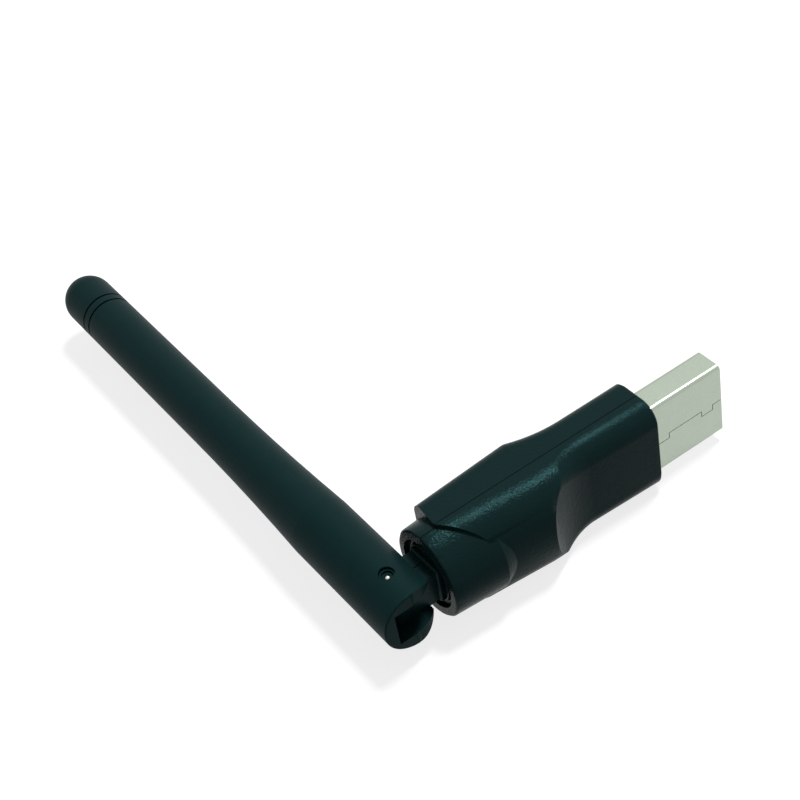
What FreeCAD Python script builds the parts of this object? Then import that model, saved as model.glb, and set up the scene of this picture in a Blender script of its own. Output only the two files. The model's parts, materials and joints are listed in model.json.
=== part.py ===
import FreeCAD, Part
import math
import os
import Sketcher

Vector = FreeCAD.Vector
Rotation = FreeCAD.Rotation

# The dongle in its own frame, in millimetres.
# The origin is the centre of the housing's end face, on the axis of the USB plug.
# +X runs out of the plug, +Y along the folded antenna, +Z across the plug's wide side.
DIMENSIONS = {
    # housing, outside
    "housing_length": 36.1,
    "half_width": 7.55,
    "collar_length": 2.4,
    "front_crest_reach": 20.0,
    "rear_crest_reach": 18.2,
    "scoop_reach": 11.4,
    "front_shoulder_depth": 5.4,
    "front_belly_depth": 6.7,
    "front_scoop_depth": 3.55,
    "front_end_depth": 4.0,
    "front_corner_radius": 5.0,
    "front_crest_radius": 0.8,
    "front_crown_radius": 14.0,
    "front_edge_radius": 3.2,
    "front_inside_bevel": 1.0,
    "shoulder_slant": 0.92,
    "rear_shoulder_depth": 5.55,
    "rear_belly_depth": 6.5,
    "rear_end_depth": 4.8,
    "rear_corner_radius": 2.3,
    "rear_shoulder_slant": 0.09,
    "rear_scoop_reach": 10.2,
    "barrel_height": 6.35,
    "barrel_half_width": 6.8,
    "barrel_growth": 0.45,
    "barrel_length": 8.1,
    "barrel_fade": 4.3,
    "end_bevel": 0.35,
    "mouth_bevel": 0.3,
    # housing, inside
    "wall": 1.2,
    "end_wall": 1.4,
    "seam_gap": 0.1,
    "lip_thickness": 0.5,
    "lip_height": 0.8,
    "lip_clearance": 0.05,
    "lip_margin": 3.0,
    "rib_thickness": 1.0,
    "post_radius": 0.8,
    "post_inset": 1.0,
    # swivel seat in the collar
    "mouth_radius": 5.1,
    "mouth_depth": 1.4,
    "lip_radius": 4.3,
    "lip_length": 1.2,
    "groove_radius": 5.25,
    "groove_length": 1.6,
    "bulkhead_radius": 3.2,
    "bulkhead_length": 1.2,
    "neck_clearance": 0.1,
    "flange_clearance": 0.15,
    "swivel_setback": 0.4,
    "swivel_tail": 0.5,
    "swivel_split": 0.14,
    # hinge
    "pin_reach": 5.6,
    "pin_radius": 0.6,
    "pin_clearance": 0.06,
    "pin_recess": 0.09,
    "pin_floor": 1.2,
    "recess_radius": 1.1,
    "recess_depth": 0.8,
    "tongue_half_height": 2.5,
    "tongue_half_width": 2.65,
    "slot_clearance": 0.1,
    "knuckle_overhang": 5.15,
    "knuckle_bevel": 0.18,
    "ear_swing_radius": 5.0,
    # antenna
    "junction_reach": 16.44,
    "junction_radius": 4.61,
    "spigot_radius": 3.0,
    "spigot_length": 5.0,
    "bell_length": 28.5,
    "rod_radius": 3.91,
    "ring_from_tip": 11.07,
    "ring_pitch": 1.66,
    "ring_width": 0.35,
    "ring_depth": 0.3,
    "tip_reach": 87.35,
    "tip_wall": 2.5,
    "coax_radius": 0.565,
    "coax_clearance": 0.06,
    "radiator_gap": 1.5,
    "balun_length": 26.5,
    "balun_radius": 2.2,
    "balun_wall": 0.25,
    "radiator_radius": 0.45,
    "radiator_length": 26.5,
    "spacer_length": 2.0,
    "cable_slot_length": 2.9,
    "cable_slot_half_height": 0.75,
    # plug
    "plug_width": 12.0,
    "plug_height": 4.5,
    "plug_reach": 12.3,
    "plug_root": 6.05,
    "plug_wall": 0.3,
    "plug_corner_radius": 0.7,
    "plug_fit": 0.04,
    "leg_length": 3.4,
    "leg_half_height": 1.1,
    "seam_width": 0.1,
    "seam_step": 0.9,
    "seam_first": 1.6,
    "seam_second": 3.6,
    "seam_third": 9.4,
    "latch_reach": 5.16,
    "latch_size": 2.3,
    "latch_spacing": 6.0,
    "insulator_height": 1.84,
    "insulator_fit": 0.04,
    "insulator_setback": 0.8,
    "insulator_block": 4.9,
    "contact_thickness": 0.25,
    "contact_proud": 0.05,
    "contact_width": 1.0,
    "contact_inner_offset": 1.0,
    "contact_outer_offset": 3.5,
    "contact_outer_setback": 0.9,
    "contact_inner_setback": 1.9,
    "contact_tail": 3.2,
    # board
    "board_thickness": 1.0,
    "board_half_width": 5.55,
    "board_swivel_gap": 2.25,
    "board_gap": 0.1,
    "board_corner": 0.8,
    "chip_side": 6.0,
    "chip_height": 0.9,
    "chip_reach": 17.5,
    "chip_edge": 0.12,
    "crystal_length": 3.2,
    "crystal_width": 2.5,
    "crystal_height": 0.75,
    "crystal_reach": 22.7,
    "crystal_offset": 2.9,
    "regulator_length": 2.9,
    "regulator_width": 1.6,
    "regulator_height": 1.1,
    "regulator_reach": 11.6,
    "regulator_offset": 2.7,
    "passive_length": 1.0,
    "passive_width": 0.5,
    "passive_height": 0.5,
    "passive_pitch": 1.3,
    "passive_reach": 12.2,
    "passive_offset": 0.9,
    "lead_pad_end_gap": 5.55,
    "lead_pad_offset": 2.6,
}

PASSIVE_COUNT = 4
LEAD_RUNS = 2
RUN_SHARE = 0.45
SCOOP_MARGIN = 0.6
SHEET = "Sizes"
CLEAR_OF_ALL = 30.0
TOUCH = 0.001


class Size:
    """A length with its value and the formula that the document keeps for it."""

    def __init__(self, value, text):
        self.value = value
        self.text = text

    def join(self, sign, other, value):
        other_text = other.text if isinstance(other, Size) else repr(other)
        return Size(value, "(%s %s %s)" % (self.text, sign, other_text))

    def __add__(self, other):
        return self.join("+", other, self.value + number(other))

    def __sub__(self, other):
        return self.join("-", other, self.value - number(other))

    def __mul__(self, other):
        return self.join("*", other, self.value * number(other))

    def __truediv__(self, other):
        return self.join("/", other, self.value / number(other))

    def __neg__(self):
        return Size(-self.value, "(0 - %s)" % self.text)


def number(size):
    """The plain value of a size or of a number."""
    return size.value if isinstance(size, Size) else float(size)


def formula(size):
    """The expression text of a size or of a number."""
    return size.text if isinstance(size, Size) else repr(float(size))


def root(size):
    """The square root of a size."""
    return Size(math.sqrt(size.value), "sqrt(%s)" % size.text)


def steepness(slope):
    """The angle of a slope, in degrees."""
    return Size(math.degrees(math.atan(slope.value)), "atan(%s)" % slope.text)


class Sheet:
    """The driving dimensions, one spreadsheet row each, read as attributes."""

    def __init__(self, document, dimensions):
        self.cells = document.addObject("Spreadsheet::Sheet", SHEET)
        for row, (alias, value) in enumerate(dimensions.items(), start=1):
            self.cells.set("A%d" % row, alias)
            self.cells.set("B%d" % row, str(value))
            self.cells.setAlias("B%d" % row, alias)
        document.recompute()
        for alias in dimensions:
            setattr(self, alias, Size(float(self.cells.get(alias)), SHEET + "." + alias))


doc = FreeCAD.newDocument("dongle")
s = Sheet(doc, DIMENSIONS)
NODES = []


# Shared builders

def bind(feature, **sizes):
    """Ties properties of a feature to formulas."""
    for name, size in sizes.items():
        feature.setExpression(name, formula(size))
    return feature


def place(feature, x=0.0, y=0.0, z=0.0, rotation=None):
    """Puts a feature at a place given by formulas."""
    feature.Placement = FreeCAD.Placement(Vector(number(x), number(y), number(z)), rotation or Rotation())
    for axis, size in (("x", x), ("y", y), ("z", z)):
        feature.setExpression("Placement.Base." + axis, formula(size))
    return feature


def block(name, x, y, z):
    """A box from three pairs of limits."""
    box = doc.addObject("Part::Box", name)
    bind(box, Length=span(x), Width=span(y), Height=span(z))
    return place(box, x[0], y[0], z[0])


def span(limits):
    """The distance between two limits."""
    low, high = limits
    return high - low if isinstance(high, Size) else Size(high, repr(high)) - low


def rod(name, axis, radius, limits, x=0.0, y=0.0, z=0.0):
    """A cylinder along a named axis between two limits."""
    turn = {
        "X": Rotation(Vector(0, 1, 0), 90),
        "Y": Rotation(Vector(1, 0, 0), -90),
        "Z": Rotation(),
    }[axis]
    at = {"X": x, "Y": y, "Z": z}
    at[axis] = limits[0]
    cylinder = doc.addObject("Part::Cylinder", name)
    bind(cylinder, Radius=radius, Height=span(limits))
    return place(cylinder, at["X"], at["Y"], at["Z"], turn)


def cut(name, base, *tools):
    """The base with every tool taken away, one after another."""
    for count, tool in enumerate(tools, start=1):
        step = doc.addObject("Part::Cut", name if count == len(tools) else "%s_cut%d" % (name, count))
        step.Base = base
        step.Tool = tool
        base = step
    return base


def fuse(name, *shapes):
    """The union of several features."""
    union = doc.addObject("Part::MultiFuse", name)
    union.Shapes = list(shapes)
    union.Refine = True
    return union


def common(name, *shapes):
    """What several features share."""
    shared = doc.addObject("Part::MultiCommon", name)
    shared.Shapes = list(shapes)
    return shared


def rounded(name, base, radius, chosen):
    """The base with the edges that a test chooses rounded to one radius."""
    doc.recompute()
    fillet = doc.addObject("Part::Fillet", name)
    fillet.Base = base
    fillet.Edges = [
        (index, number(radius), number(radius))
        for index, edge in enumerate(base.Shape.Edges, start=1)
        if chosen(edge)
    ]
    return fillet


def bevelled(name, base, width, chosen):
    """The base with the edges that a test chooses bevelled."""
    doc.recompute()
    chamfer = doc.addObject("Part::Chamfer", name)
    chamfer.Base = base
    chamfer.Edges = [
        (index, number(width), number(width))
        for index, edge in enumerate(base.Shape.Edges, start=1)
        if chosen(edge)
    ]
    return chamfer


def new_body(name):
    """A body that holds sketches and their features."""
    return doc.addObject("PartDesign::Body", name)


def arc_centre(start, end, radius, left):
    """The centre of the short arc between two points, left or right of their chord."""
    chord = end - start
    half = chord.Length / 2
    rise = math.sqrt(max(radius * radius - half * half, 0.0))
    side = Vector(-chord.y, chord.x, 0).normalize()
    return (start + end) * 0.5 + side * (rise if left else -rise)


def profile(body, name, role, outlines, offset=None):
    """A sketch on one of the body's own planes.

    An outline is a list of corners (u, v) or (u, v, radius, left).
    A radius makes the side to the next corner an arc, with its centre left or right of the chord.
    """
    sketch = body.newObject("Sketcher::SketchObject", name)
    plane = next(f for f in body.Origin.OriginFeatures if f.Role == role)
    sketch.AttachmentSupport = [(plane, "")]
    sketch.MapMode = "FlatFace"
    if offset is not None:
        sketch.setExpression("AttachmentOffset.Base.z", formula(offset))
    for outline in outlines:
        add_outline(sketch, outline)
    return sketch


def add_outline(sketch, outline):
    """Draws one closed outline and ties each corner and radius to its formula."""
    first = sketch.GeometryCount
    count = len(outline)
    points = [Vector(number(corner[0]), number(corner[1]), 0) for corner in outline]
    ends = []
    for index, corner in enumerate(outline):
        start = points[index]
        end = points[(index + 1) % count]
        if len(corner) == 2:
            sketch.addGeometry(Part.LineSegment(start, end), False)
            ends.append((1, 2))
            continue
        radius, left = corner[2], corner[3]
        centre = arc_centre(start, end, number(radius), left)
        begin = math.atan2(start.y - centre.y, start.x - centre.x)
        finish = math.atan2(end.y - centre.y, end.x - centre.x)
        angles = (begin, finish) if left else (finish, begin)
        circle = Part.Circle(centre, Vector(0, 0, 1), number(radius))
        sketch.addGeometry(Part.ArcOfCircle(circle, *angles), False)
        ends.append((1, 2) if left else (2, 1))
    for index in range(count):
        following = (index + 1) % count
        meeting = (first + index, ends[index][1], first + following, ends[following][0])
        sketch.addConstraint(Sketcher.Constraint("Coincident", *meeting))
    for index, corner in enumerate(outline):
        for kind, size in (("DistanceX", corner[0]), ("DistanceY", corner[1])):
            added = sketch.addConstraint(
                Sketcher.Constraint(kind, -1, 1, first + index, ends[index][0], number(size))
            )
            sketch.setExpression("Constraints[%d]" % added, formula(size))
        if len(corner) > 2:
            added = sketch.addConstraint(Sketcher.Constraint("Radius", first + index, number(corner[2])))
            sketch.setExpression("Constraints[%d]" % added, formula(corner[2]))


def pad(body, name, sketch, length, symmetric=False):
    """Pushes a sketch out to a solid."""
    feature = body.newObject("PartDesign::Pad", name)
    feature.Profile = sketch
    feature.SideType = "Symmetric" if symmetric else "One side"
    feature.setExpression("Length", formula(length))
    return feature


def turned(name, role, axis, outline):
    """A body turned from one outline about one of its sketch's axes."""
    body = new_body(name)
    sketch = profile(body, name + "_outline", role, [outline])
    feature = body.newObject("PartDesign::Revolution", name + "_turned")
    feature.Profile = sketch
    feature.ReferenceAxis = (sketch, [axis])
    feature.Angle = 360.0
    return body


def rectangle(half_u, half_v, radius):
    """An upright rectangle with round corners, about the origin."""
    return [
        (half_u - radius, -half_v, radius, True),
        (half_u, radius - half_v),
        (half_u, half_v - radius, radius, True),
        (half_u - radius, half_v),
        (radius - half_u, half_v, radius, True),
        (-half_u, half_v - radius),
        (-half_u, radius - half_v, radius, True),
        (radius - half_u, -half_v),
    ]


def node(label, feature):
    """Names a finished piece."""
    feature.Label = label
    NODES.append(feature)
    return feature


# Stations along the housing

x_mouth = -s.housing_length
x_shoulder = x_mouth + s.collar_length
x_pin = x_mouth - s.pin_reach
x_front_crest = -s.front_crest_reach
x_rear_crest = -s.rear_crest_reach
x_lip = x_mouth + s.mouth_depth
x_groove = x_lip + s.lip_length
x_bulkhead = x_groove + s.groove_length
x_cavity = x_bulkhead + s.bulkhead_length
x_tail = x_cavity + s.swivel_tail
x_plug_root = -s.plug_root
board_front = -(s.plug_height / 2 - s.plug_wall - s.insulator_height - s.contact_proud)
board_rear = board_front + s.board_thickness
x_board = x_plug_root - s.board_gap
x_board_end = x_tail + s.board_swivel_gap
end_wall_inside = -s.end_wall


# Housing shells

def scoop_radius(drop, run):
    """The radius of a scoop that leaves the crest and meets the flat without a corner."""
    return (run * run + drop * drop) / (drop * 2)


flat_seam = Size(0.0, "0.0")
ramp_tilt = steepness((s.front_belly_depth - s.front_shoulder_depth) / (x_front_crest - x_shoulder))
front_scoop_radius = scoop_radius(
    s.front_belly_depth - s.front_scoop_depth, s.front_crest_reach - s.scoop_reach
)
rear_scoop_radius = scoop_radius(
    s.rear_belly_depth - s.rear_end_depth, s.rear_crest_reach - s.rear_scoop_reach
)


def crowned_outline(inset):
    """The front shell's cross-section, measured from its face: flanks, round corners and a crown."""
    width = s.half_width - inset
    corner = s.front_corner_radius - inset
    crown = s.front_crown_radius - inset
    inner = root((crown - corner) * (crown - corner) - (width - corner) * (width - corner))
    grow = crown / (crown - corner)
    crown_edge = crown - inner * grow
    crown_half = (width - corner) * grow
    far = s.front_belly_depth * 2
    return [
        (far, width),
        (crown - inner, width, corner, True),
        (crown_edge, crown_half, crown, True),
        (crown_edge, -crown_half, corner, True),
        (crown - inner, -width),
        (far, -width),
    ]


def crowned_run(name, inset, tilt=None):
    """A long run of the front shell's cross-section through its crest, level or tilted."""
    body = new_body(name)
    sketch = profile(body, name + "_outline", "YZ_Plane", [crowned_outline(inset)])
    pad(body, name + "_pad", sketch, s.housing_length * 4, symmetric=True)
    turn = Rotation(Vector(0, 0, -1), number(tilt)) if tilt else None
    place(body, x_front_crest, inset - s.front_belly_depth, rotation=turn)
    if tilt:
        body.setExpression("Placement.Rotation.Angle", formula(tilt))
    return body


def side_view(name, inset, corners):
    """A side view pushed across the width, less an inset on either side."""
    body = new_body(name)
    sketch = profile(body, name + "_outline", "XY_Plane", [corners])
    pad(body, name + "_pad", sketch, (s.half_width - inset) * 2, symmetric=True)
    return body


def scooped_side(name, inset, back, slant, front):
    """The front shell's side view: shoulder, belly, scoop and the flat beside the plug."""
    arc = front_scoop_radius + inset
    level = s.front_scoop_depth - inset
    reach = s.front_belly_depth - inset + SCOOP_MARGIN
    top = s.front_end_depth / 2
    return side_view(name, inset, [
        (back - top * slant, top),
        (back + reach * slant, -reach),
        (scoop_start(inset), -reach, arc, False),
        (-s.scoop_reach, -level),
        (front, inset - s.front_end_depth),
        (front, top),
    ])


def scoop_start(inset):
    """The station where the scoop's arc comes out below the belly."""
    rise = s.front_belly_depth - s.front_scoop_depth + SCOOP_MARGIN
    arc = front_scoop_radius + inset
    return -s.scoop_reach - root(rise * (arc * 2 - rise))


def softened(name, body):
    """The front shell's side view with long edges that open from the crest to the scoop's end."""
    doc.recompute()
    opening = (scoop_start(flat_seam), -s.scoop_reach, s.front_crest_radius, s.front_edge_radius)
    level = (-s.scoop_reach, flat_seam, s.front_edge_radius, s.front_edge_radius)
    fillet = doc.addObject("Part::Fillet", name)
    fillet.Base = body
    fillet.Edges = [
        (index, *ends)
        for index, edge in enumerate(body.Shape.Edges, start=1)
        for stretch in (opening, level)
        for ends in tapering(edge, number(s.half_width), *map(number, stretch))
    ]
    return fillet


def on_scooped_edge(edge):
    """True for the long edges of the hollow, along the scoop and the flat."""
    box = edge.BoundBox
    on_flank = box.ZLength < TOUCH and box.XLength > number(s.end_wall)
    return on_flank and box.YMax < -TOUCH and box.XMax > number(x_front_crest) + TOUCH


def tapering(edge, width, back, front, back_radius, front_radius):
    """The two radii for an edge that runs along a flank from one station to another, if it does."""
    box = edge.BoundBox
    on_flank = abs(abs(box.ZMin) - width) < TOUCH and box.ZLength < TOUCH
    in_run = abs(box.XMin - back) < TOUCH and abs(box.XMax - front) < TOUCH
    if not (on_flank and in_run and box.YMax < -TOUCH):
        return []
    forward = edge.valueAt(edge.FirstParameter).x < edge.valueAt(edge.LastParameter).x
    return [(back_radius, front_radius) if forward else (front_radius, back_radius)]


def front_form(name, inset, side):
    """The front shell's outside, or its hollow when inset by the wall."""
    level = crowned_run(name + "_level", inset)
    return common(name, level, crowned_run(name + "_ramp", inset, ramp_tilt), side)


def rear_form(name, inset, back, slant, front):
    """The rear shell's outside before its corners are rounded, or its hollow when inset by the wall."""
    shoulder = s.rear_shoulder_depth - inset
    level = s.rear_end_depth - inset
    return side_view(name, inset, [
        (back, flat_seam),
        (back + shoulder * slant, shoulder),
        (x_rear_crest, s.rear_belly_depth - inset, rear_scoop_radius + inset, True),
        (-s.rear_scoop_reach, level),
        (front, level),
        (front, flat_seam),
    ])


def on_rear_corner(edge):
    """True for the edges around the rear face, apart from those at its two ends."""
    box = edge.BoundBox
    outer = box.YMin > number(s.rear_end_depth) - TOUCH
    along = box.XLength > number(s.rear_corner_radius)
    crest = box.XLength < TOUCH and abs(box.XMin - number(x_rear_crest)) < TOUCH
    return outer and (along or crest)


def at_end_face(edge):
    """True for the edges of the end face, apart from the level ones at the seam or beyond it."""
    box = edge.BoundBox
    on_face = abs(box.XMin) < TOUCH and abs(box.XMax) < TOUCH
    beyond = box.YLength < TOUCH and -TOUCH < box.YMin < number(s.rear_end_depth) - TOUCH
    return on_face and not beyond


def barrel():
    """The round collar that the swivel turns in, a little wider than deep, fading into the belly."""
    edge = s.mouth_bevel
    height = s.barrel_height
    shift = (s.barrel_half_width * s.barrel_half_width - height * height) / (height * 2)
    radius = height + shift
    outline = [
        (x_mouth, flat_seam),
        (x_mouth, radius - edge),
        (x_mouth + edge, radius),
        (x_mouth + s.barrel_length, radius + s.barrel_growth),
        (x_mouth + s.barrel_length + s.barrel_fade, radius - s.wall),
        (x_mouth + s.barrel_length + s.barrel_fade, flat_seam),
    ]
    return common(
        "barrel",
        place(turned("barrel_front", "XY_Plane", "H_Axis", outline), y=shift),
        place(turned("barrel_rear", "XY_Plane", "H_Axis", outline), y=-shift),
    )


def swivel_seat():
    """The stepped bore of the collar: mouth, lip, flange groove and bulkhead."""
    return fuse(
        "swivel_seat",
        rod("seat_mouth", "X", s.mouth_radius, (x_mouth - s.mouth_depth, x_lip)),
        rod("seat_lip", "X", s.lip_radius, (x_lip, x_groove)),
        rod("seat_groove", "X", s.groove_radius, (x_groove, x_bulkhead)),
        rod("seat_bulkhead", "X", s.bulkhead_radius, (x_bulkhead, x_cavity + s.bulkhead_length)),
    )


def plug_window():
    """The opening in the end wall that the plug stands in."""
    half_height = s.plug_height / 2 + s.plug_fit
    half_width = s.plug_width / 2 + s.plug_fit
    return block(
        "plug_window",
        (end_wall_inside - s.end_wall, s.end_wall),
        (-half_height, half_height),
        (-half_width, half_width),
    )


def lip_bars(name, side_clearance, end_clearance, low, high):
    """Two bars along the seam, on the inner half of the side walls."""
    inside = s.half_width - s.wall
    outer = inside + s.lip_thickness + side_clearance
    start = x_cavity + s.lip_margin - end_clearance
    stop = end_wall_inside - s.lip_margin + end_clearance
    return fuse(
        name,
        block(name + "_upper", (start, stop), (low, high), (inside - side_clearance, outer)),
        block(name + "_lower", (start, stop), (low, high), (-outer, -inside + side_clearance)),
    )


wide = Size(CLEAR_OF_ALL, repr(CLEAR_OF_ALL))
collar = barrel()
seat = swivel_seat()
window = plug_window()
length_of_all = (-(s.housing_length * 2), s.housing_length)
front_space = block("front_space", length_of_all, (-wide, -(s.seam_gap / 2)), (-wide, wide))
rear_space = block("rear_space", length_of_all, (s.seam_gap / 2, wide), (-wide, wide))
post_x = x_board_end + s.post_radius + s.post_inset
post_z = s.board_half_width - s.post_radius - s.post_inset / 2
rib_stations = (x_board_end + s.post_inset, x_board - s.leg_length - s.rib_thickness)


def housing_front():
    """The front shell: scooped face, half the collar, seam lips and two board posts."""
    side = scooped_side("front_side", flat_seam, x_shoulder, s.shoulder_slant, flat_seam)
    outside = front_form("front_outside", flat_seam, softened("front_softened_side", side))
    soft = bevelled("front_soft", outside, s.end_bevel, at_end_face)
    hollow_side = scooped_side("front_hollow_side", s.wall, x_cavity, flat_seam, end_wall_inside)
    hollow_edges = bevelled("front_hollow_edges", hollow_side, s.front_inside_bevel, on_scooped_edge)
    hollow = front_form("front_hollow", s.wall, hollow_edges)
    shell = cut("front_shell", fuse("front_union", soft, collar), hollow, seat, window)
    half = common("front_half", shell, front_space)
    lips = lip_bars("front_lips", flat_seam, flat_seam, -s.wall, s.lip_height)
    posts = fuse(
        "front_posts",
        rod("front_post_upper", "Y", s.post_radius, (-wide, board_front), x=post_x, z=post_z),
        rod("front_post_lower", "Y", s.post_radius, (-wide, board_front), x=post_x, z=-post_z),
    )
    seated_posts = common("front_seated_posts", posts, hollow)
    return node("housing_front", fuse("housing_front", half, lips, seated_posts))


def housing_rear():
    """The rear shell: crowned face, the other half of the collar and two ribs under the board."""
    outside = rear_form("rear_outside", flat_seam, x_shoulder, s.rear_shoulder_slant, flat_seam)
    smooth = rounded("rear_smooth", outside, s.rear_corner_radius, on_rear_corner)
    soft = bevelled("rear_soft", smooth, s.end_bevel, at_end_face)
    hollow = rear_form("rear_hollow", s.wall, x_cavity, flat_seam, end_wall_inside)
    clear = s.lip_clearance
    lips = lip_bars("rear_lips", clear, clear, flat_seam, s.lip_height + clear)
    shell = cut("rear_shell", fuse("rear_union", soft, collar), hollow, seat, window, lips)
    half = common("rear_half", shell, rear_space)
    ribs = fuse(
        "rear_ribs",
        *(
            block("rear_rib%d" % count, (back, back + s.rib_thickness), (board_rear, wide), (-wide, wide))
            for count, back in enumerate(rib_stations, start=1)
        )
    )
    return node("housing_rear", fuse("housing_rear", half, common("rear_seated_ribs", ribs, hollow)))


# Plug

plug_half_width = s.plug_width / 2
plug_half_height = s.plug_height / 2
tongue_face = board_front - s.contact_proud


def seam_cuts():
    """The joint of the folded sheet, which steps from side to side down the seam face."""
    stations = (s.plug_reach + s.seam_width, s.plug_reach - s.seam_first,
                s.plug_reach - s.seam_second, s.plug_reach - s.seam_third, x_plug_root - s.seam_width)
    depth = (-(plug_half_height + s.plug_wall), -(plug_half_height - s.plug_wall * 1.5))
    half = s.seam_width / 2
    cuts = []
    for count in range(len(stations) - 1):
        level = -s.seam_step * (count % 2)
        limits = (stations[count + 1] - half, stations[count] + half)
        cuts.append(block("plug_seam%d" % count, limits, depth, (level - half, level + half)))
        if count:
            across = (stations[count] - half, stations[count] + half)
            cuts.append(block("plug_step%d" % count, across, depth, (-s.seam_step - half, half)))
    return fuse("plug_seam", *cuts)


def latch_windows():
    """The two square windows that a socket's springs drop into."""
    stop = s.plug_reach - s.latch_reach
    windows = []
    for count, side in enumerate((-1, 1), start=1):
        middle = s.latch_spacing / 2 * side
        windows.append(block(
            "plug_latch%d" % count,
            (stop - s.latch_size, stop),
            (plug_half_height - s.plug_wall * 1.5, plug_half_height + s.plug_wall),
            (middle - s.latch_size / 2, middle + s.latch_size / 2),
        ))
    return fuse("plug_latches", *windows)


def usb_shell():
    """The folded metal shell of the plug, with the two legs that hold the board's edges."""
    body = new_body("plug_tube")
    inner_half_width = plug_half_width - s.plug_wall
    outlines = [
        rectangle(plug_half_height, plug_half_width, s.plug_corner_radius),
        rectangle(plug_half_height - s.plug_wall, inner_half_width, s.plug_corner_radius - s.plug_wall),
    ]
    sketch = profile(body, "plug_tube_outline", "YZ_Plane", outlines, x_plug_root)
    pad(body, "plug_tube_pad", sketch, s.plug_root + s.plug_reach)
    legs = [
        block(
            "plug_leg%d" % count,
            (x_plug_root - s.leg_length, x_plug_root),
            (-s.leg_half_height, s.leg_half_height),
            limits,
        )
        for count, limits in enumerate(
            ((inner_half_width, plug_half_width), (-plug_half_width, -inner_half_width)), start=1
        )
    ]
    tube = cut("plug_open_tube", body, seam_cuts(), latch_windows())
    return node("usb_shell", fuse("usb_shell", tube, *legs))


contact_offsets = (
    ("contact_power", -s.contact_outer_offset, s.contact_outer_setback),
    ("contact_data_minus", -s.contact_inner_offset, s.contact_inner_setback),
    ("contact_data_plus", s.contact_inner_offset, s.contact_inner_setback),
    ("contact_ground", s.contact_outer_offset, s.contact_outer_setback),
)
tongue_tip = s.plug_reach - s.insulator_setback


def contact_strip(name, offset, setback):
    """One contact, from its nose on the tongue to its tail on the board."""
    half = s.contact_width / 2
    return block(
        name,
        (x_board - s.contact_tail, tongue_tip - setback),
        (board_front - s.contact_thickness, board_front),
        (offset - half, offset + half),
    )


def contacts():
    """The four contacts of the plug."""
    for name, offset, setback in contact_offsets:
        strip = contact_strip(name + "_strip", offset, setback)
        nose = number(tongue_tip - setback)
        node(name, bevelled(
            name, strip, s.contact_proud,
            lambda edge, nose=nose: is_nose_edge(edge, nose),
        ))


def is_nose_edge(edge, nose):
    """True for the upper edge at a contact's nose."""
    box = edge.BoundBox
    at_nose = abs(box.XMin - nose) < TOUCH and box.XLength < TOUCH
    return at_nose and abs(box.YMin - number(board_front)) < TOUCH


def usb_insulator():
    """The moulded tongue and the block behind it, grooved for the contacts."""
    fit = s.insulator_fit
    half_width = plug_half_width - s.plug_wall - fit
    half_height = plug_half_height - s.plug_wall - fit
    body = new_body("insulator_block")
    sketch = profile(
        body, "insulator_block_outline", "YZ_Plane",
        [rectangle(half_height, half_width, s.plug_corner_radius - s.plug_wall)], x_plug_root,
    )
    pad(body, "insulator_block_pad", sketch, s.insulator_block)
    tongue = block(
        "insulator_tongue_blank",
        (x_plug_root, tongue_tip),
        (-half_height, tongue_face),
        (-half_width, half_width),
    )
    tongue_low = number(-half_height)
    tongue_edges = bevelled(
        "insulator_tongue", tongue, s.plug_corner_radius - s.plug_wall,
        lambda edge: edge.BoundBox.XLength > 1.0 and abs(edge.BoundBox.YMax - tongue_low) < TOUCH,
    )
    grooves = [contact_strip(name + "_groove", *place_across) for name, *place_across in contact_offsets]
    moulding = fuse("insulator_blank", body, tongue_edges)
    return node("usb_insulator", cut("usb_insulator", moulding, fuse("insulator_grooves", *grooves)))


# Board and its parts

def circuit_board():
    """The board, with its corners rounded, flush against the contacts' tails."""
    across = (-s.board_half_width, s.board_half_width)
    blank = block("board_blank", (x_board_end, x_board), (board_front, board_rear), across)
    return node("circuit_board", rounded(
        "circuit_board", blank, s.board_corner,
        lambda edge: edge.BoundBox.YLength > 0.5 and abs(edge.BoundBox.XMax - number(x_board_end)) < TOUCH,
    ))


def board_part(name, reach, offset, length, width, height):
    """A component on the board's front face, at a reach from the end face and an offset across."""
    middle = -reach
    return block(
        name,
        (middle - length / 2, middle + length / 2),
        (board_front - height, board_front),
        (offset - width / 2, offset + width / 2),
    )


def top_edges(height):
    """A test for the edges around a component's outer face."""
    level = number(board_front - height)
    return lambda edge: abs(edge.BoundBox.YMin - level) < TOUCH and abs(edge.BoundBox.YMax - level) < TOUCH


def board_parts():
    """The radio chip, its crystal, the regulator and a row of small passives."""
    parts = (
        ("radio_chip", s.chip_reach, flat_seam, s.chip_side, s.chip_side, s.chip_height),
        ("crystal", s.crystal_reach, -s.crystal_offset, s.crystal_length, s.crystal_width, s.crystal_height),
        ("voltage_regulator", s.regulator_reach, s.regulator_offset,
         s.regulator_width, s.regulator_length, s.regulator_height),
    )
    for name, reach, offset, length, width, height in parts:
        blank = board_part(name + "_blank", reach, offset, length, width, height)
        node(name, bevelled(name, blank, s.chip_edge, top_edges(height)))
    row = []
    for count in range(PASSIVE_COUNT):
        offset = -(s.passive_offset + s.passive_pitch * count)
        row.append(board_part(
            "passive%d" % count, s.passive_reach, offset,
            s.passive_length, s.passive_width, s.passive_height,
        ))
    node("board_passives", fuse("board_passives", *row))


# Leads

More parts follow.
